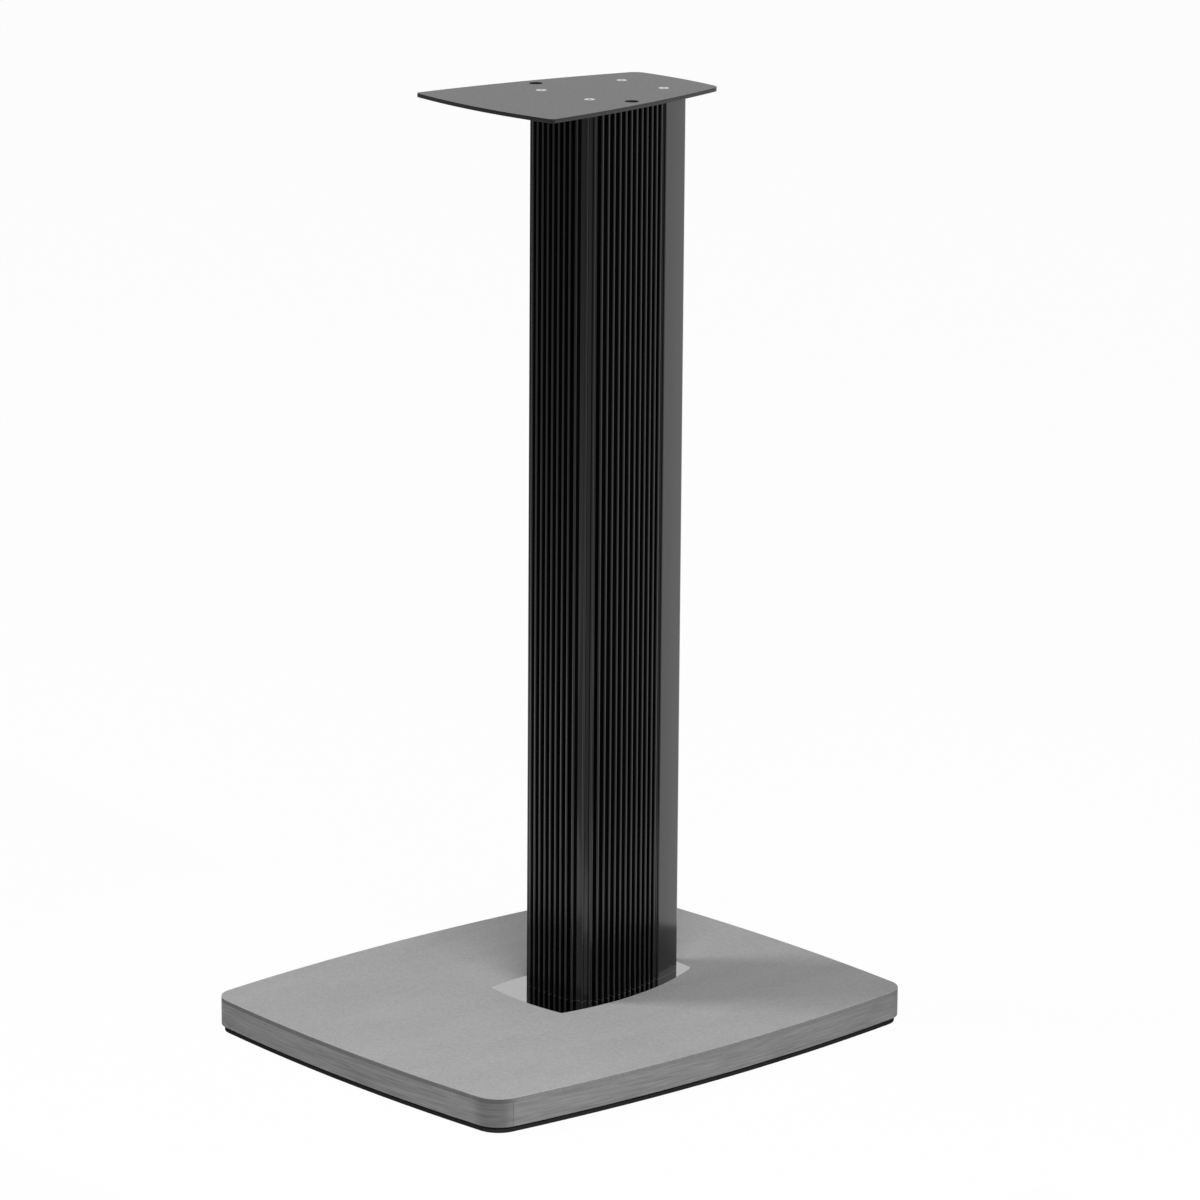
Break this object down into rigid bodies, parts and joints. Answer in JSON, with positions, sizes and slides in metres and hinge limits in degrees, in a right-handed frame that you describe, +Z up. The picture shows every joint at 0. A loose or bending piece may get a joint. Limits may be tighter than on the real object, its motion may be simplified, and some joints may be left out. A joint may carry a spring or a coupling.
{
  "type": "speaker stand",
  "caption": "Floor stand for a loudspeaker: a wide grey bowed base with an inlaid polished foot plate, a finned black column and a thin top plate.",
  "frame": {"origin": "on the floor under the middle of the base", "axes": "+Z up, front towards -Y, +X to the right of a person who faces +Y"},
  "size_m": [0.3598, 0.4358, 0.7275],
  "materials": {
    "black_powder_coat": "satin black powder coat",
    "stainless_screws": "bright stainless",
    "black_anodised": "satin black anodised",
    "black_rubber": "matt",
    "polished_steel": "mirror polished",
    "zinc_screws": "zinc plated",
    "grey_top_sheet": "matt grey stain",
    "board": "raw fibreboard",
    "grey_edge_band": "matt grey stain, grain along the edge",
    "dark_steel": "matt dark grey paint"
  },
  "bodies": {
    "root": {"top_plate": "black_powder_coat", "top_plate_screws": "stainless_screws", "column": "black_anodised", "rear_cover": "black_anodised", "cable_bushes": "black_rubber", "foot_plate": "polished_steel", "column_foot_screws": "zinc_screws", "base_top_sheet": "grey_top_sheet", "base_board": "board", "edge_band": "grey_edge_band", "foot_plate_bolts": "zinc_screws", "plinth": "dark_steel", "plinth_screws": "zinc_screws", "floor_pads": "black_rubber"}
  },
  "joints": []
}
